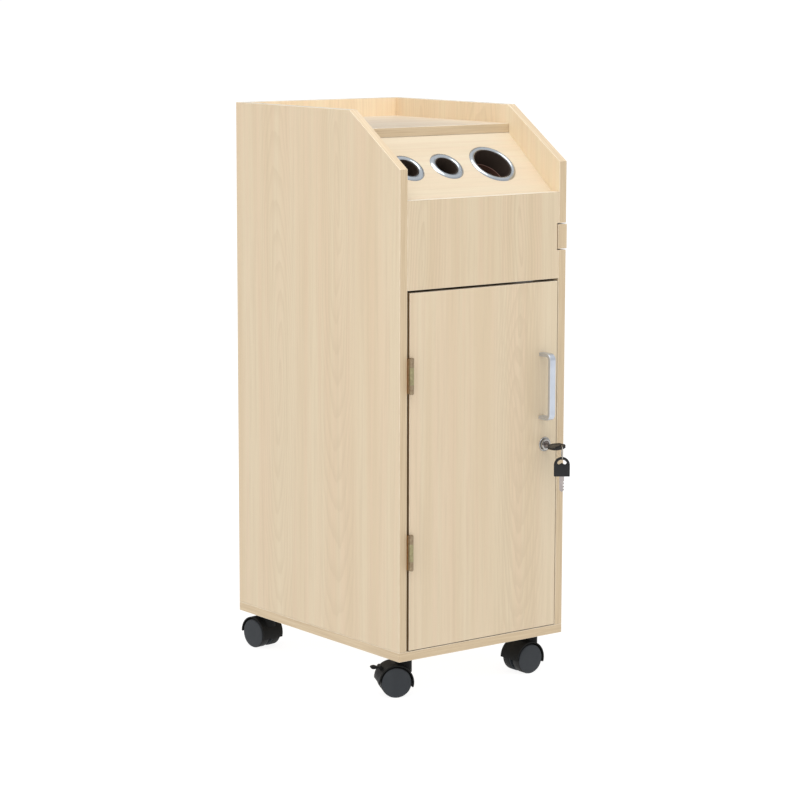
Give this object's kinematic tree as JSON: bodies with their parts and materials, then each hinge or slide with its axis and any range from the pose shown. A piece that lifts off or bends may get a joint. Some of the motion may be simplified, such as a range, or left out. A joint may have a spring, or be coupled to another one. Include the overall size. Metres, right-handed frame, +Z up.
{
  "type": "rolling tool cabinet",
  "caption": "Tall narrow board cabinet on swivel casters, with a lockable door, a side tray, a raised top shelf and slanted cups for hot hair tools.",
  "frame": {"origin": "on the floor under the middle of the cabinet's body", "axes": "+X towards the lock side and the side tray, +Y towards the back, +Z up"},
  "size_m": [0.3716, 0.5239, 0.936],
  "materials": {
    "maple_board": "satin melamine with maple grain",
    "thin_board": "satin",
    "chromed_ring": "satin chrome",
    "holder_cup": "matt",
    "bronzed_hinge": "dull bronze",
    "bronzed_screw": "dull bronze",
    "satin_aluminium": "satin",
    "zinc_steel": "zinc plated",
    "nickel_plate": "polished nickel",
    "key_plastic": "semi gloss",
    "catch_plastic": "matt",
    "hood_plastic": "semi gloss",
    "wheel_plastic": "satin"
  },
  "bodies": {
    "cabinet": {"back_panel": "maple_board", "base_panel": "maple_board", "caster_plates": "zinc_steel", "caster_screws": "zinc_steel", "front_fascia": "maple_board", "hinge_frame_leaf_lower": "bronzed_hinge", "hinge_frame_leaf_upper": "bronzed_hinge", "hinge_frame_screws": "bronzed_screw", "hinge_pins": "bronzed_hinge", "holder_cup_large": "holder_cup", "holder_cup_left": "holder_cup", "holder_cup_middle": "holder_cup", "holder_panel": "maple_board", "holder_ring_large": "chromed_ring", "holder_ring_left": "chromed_ring", "holder_ring_middle": "chromed_ring", "inner_shelf": "maple_board", "left_side_panel": "maple_board", "lock_strike": "zinc_steel", "magnet_catch": "catch_plastic", "partition": "maple_board", "right_side_panel": "maple_board", "shelf_pegs": "zinc_steel", "top_shelf": "maple_board", "tray_runners": "maple_board"},
    "door": {"door": "maple_board", "handle": "satin_aluminium", "handle_screws": "zinc_steel", "hinge_door_leaf_upper": "bronzed_hinge", "hinge_door_leaf_lower": "bronzed_hinge", "hinge_door_screws": "bronzed_screw", "lock_housing": "nickel_plate", "lock_nut": "zinc_steel", "catch_keeper": "zinc_steel"},
    "lock_core": {"lock_plug": "nickel_plate", "lock_cam": "zinc_steel", "key_head": "key_plastic", "key_blade": "nickel_plate"},
    "key_ring": {"key_ring": "nickel_plate"},
    "spare_key": {"spare_key_head": "key_plastic", "spare_key_blade": "nickel_plate"},
    "tray": {"tray_lip": "maple_board", "tray_side_front": "maple_board", "tray_side_rear": "maple_board", "tray_end": "maple_board", "tray_floor": "thin_board"},
    "caster_swivel_front_left": {"caster_hood_front_left": "hood_plastic"},
    "caster_wheels_front_left": {"caster_wheels_front_left": "wheel_plastic", "caster_axle_front_left": "zinc_steel"},
    "brake_pedal_front_left": {"caster_pedal_front_left": "hood_plastic"},
    "caster_swivel_front_right": {"caster_hood_front_right": "hood_plastic"},
    "caster_wheels_front_right": {"caster_wheels_front_right": "wheel_plastic", "caster_axle_front_right": "zinc_steel"},
    "caster_swivel_back_left": {"caster_hood_back_left": "hood_plastic"},
    "caster_wheels_back_left": {"caster_wheels_back_left": "wheel_plastic", "caster_axle_back_left": "zinc_steel"},
    "caster_swivel_back_right": {"caster_hood_back_right": "hood_plastic"},
    "caster_wheels_back_right": {"caster_wheels_back_right": "wheel_plastic", "caster_axle_back_right": "zinc_steel"},
    "brake_pedal_back_right": {"caster_pedal_back_right": "hood_plastic"}
  },
  "joints": [
    {"name": "door_hinge", "type": "hinge", "parent": "cabinet", "child": "door", "pos_m": [-0.151, -0.233, 0.3835], "axis": [0, 0, -1], "range_deg": [0, 170]},
    {"name": "lock_turn", "type": "hinge", "parent": "door", "child": "lock_core", "pos_m": [0.1285, -0.232, 0.3875], "axis": [0, -1, 0], "range_deg": [0, 90]},
    {"name": "key_ring_swing", "type": "hinge", "parent": "lock_core", "child": "key_ring", "pos_m": [0.1285, -0.2715, 0.3875], "axis": [1, 0, 0], "range_deg": [-15, 12]},
    {"name": "spare_key_swing", "type": "hinge", "parent": "key_ring", "child": "spare_key", "pos_m": [0.1285, -0.2715, 0.36711], "axis": [0.6018, 0.7986, 0], "range_deg": [-50, 50]},
    {"name": "tray_slide", "type": "slide", "parent": "cabinet", "child": "tray", "axis": [1, 0, 0], "range_m": [0, 0.2]},
    {"name": "swivel_front_left", "type": "hinge", "parent": "cabinet", "child": "caster_swivel_front_left", "pos_m": [-0.132, -0.193, 0.055], "axis": [0, 0, 1], "continuous": true},
    {"name": "roll_front_left", "type": "hinge", "parent": "caster_swivel_front_left", "child": "caster_wheels_front_left", "pos_m": [-0.14818, -0.18511, 0.025], "axis": [-0.4384, -0.8988, 0], "continuous": true},
    {"name": "brake_front_left", "type": "hinge", "parent": "caster_swivel_front_left", "child": "brake_pedal_front_left", "pos_m": [-0.16919, -0.17486, 0.04758], "axis": [-0.4384, -0.8988, 0], "range_deg": [0, 12]},
    {"name": "swivel_front_right", "type": "hinge", "parent": "cabinet", "child": "caster_swivel_front_right", "pos_m": [0.132, -0.193, 0.055], "axis": [0, 0, 1], "continuous": true},
    {"name": "roll_front_right", "type": "hinge", "parent": "caster_swivel_front_right", "child": "caster_wheels_front_right", "pos_m": [0.114, -0.193, 0.025], "axis": [0, -1, 0], "continuous": true},
    {"name": "swivel_back_left", "type": "hinge", "parent": "cabinet", "child": "caster_swivel_back_left", "pos_m": [-0.132, 0.193, 0.055], "axis": [0, 0, 1], "continuous": true},
    {"name": "roll_back_left", "type": "hinge", "parent": "caster_swivel_back_left", "child": "caster_wheels_back_left", "pos_m": [-0.13419, 0.21087, 0.025], "axis": [-0.9925, -0.1219, 0], "continuous": true},
    {"name": "swivel_back_right", "type": "hinge", "parent": "cabinet", "child": "caster_swivel_back_right", "pos_m": [0.132, 0.193, 0.055], "axis": [0, 0, 1], "continuous": true},
    {"name": "roll_back_right", "type": "hinge", "parent": "caster_swivel_back_right", "child": "caster_wheels_back_right", "pos_m": [0.14831, 0.20061, 0.025], "axis": [-0.4226, 0.9063, 0], "continuous": true},
    {"name": "brake_back_right", "type": "hinge", "parent": "caster_swivel_back_right", "child": "brake_pedal_back_right", "pos_m": [0.1695, 0.21049, 0.04758], "axis": [-0.4226, 0.9063, 0], "range_deg": [0, 12]}
  ]
}
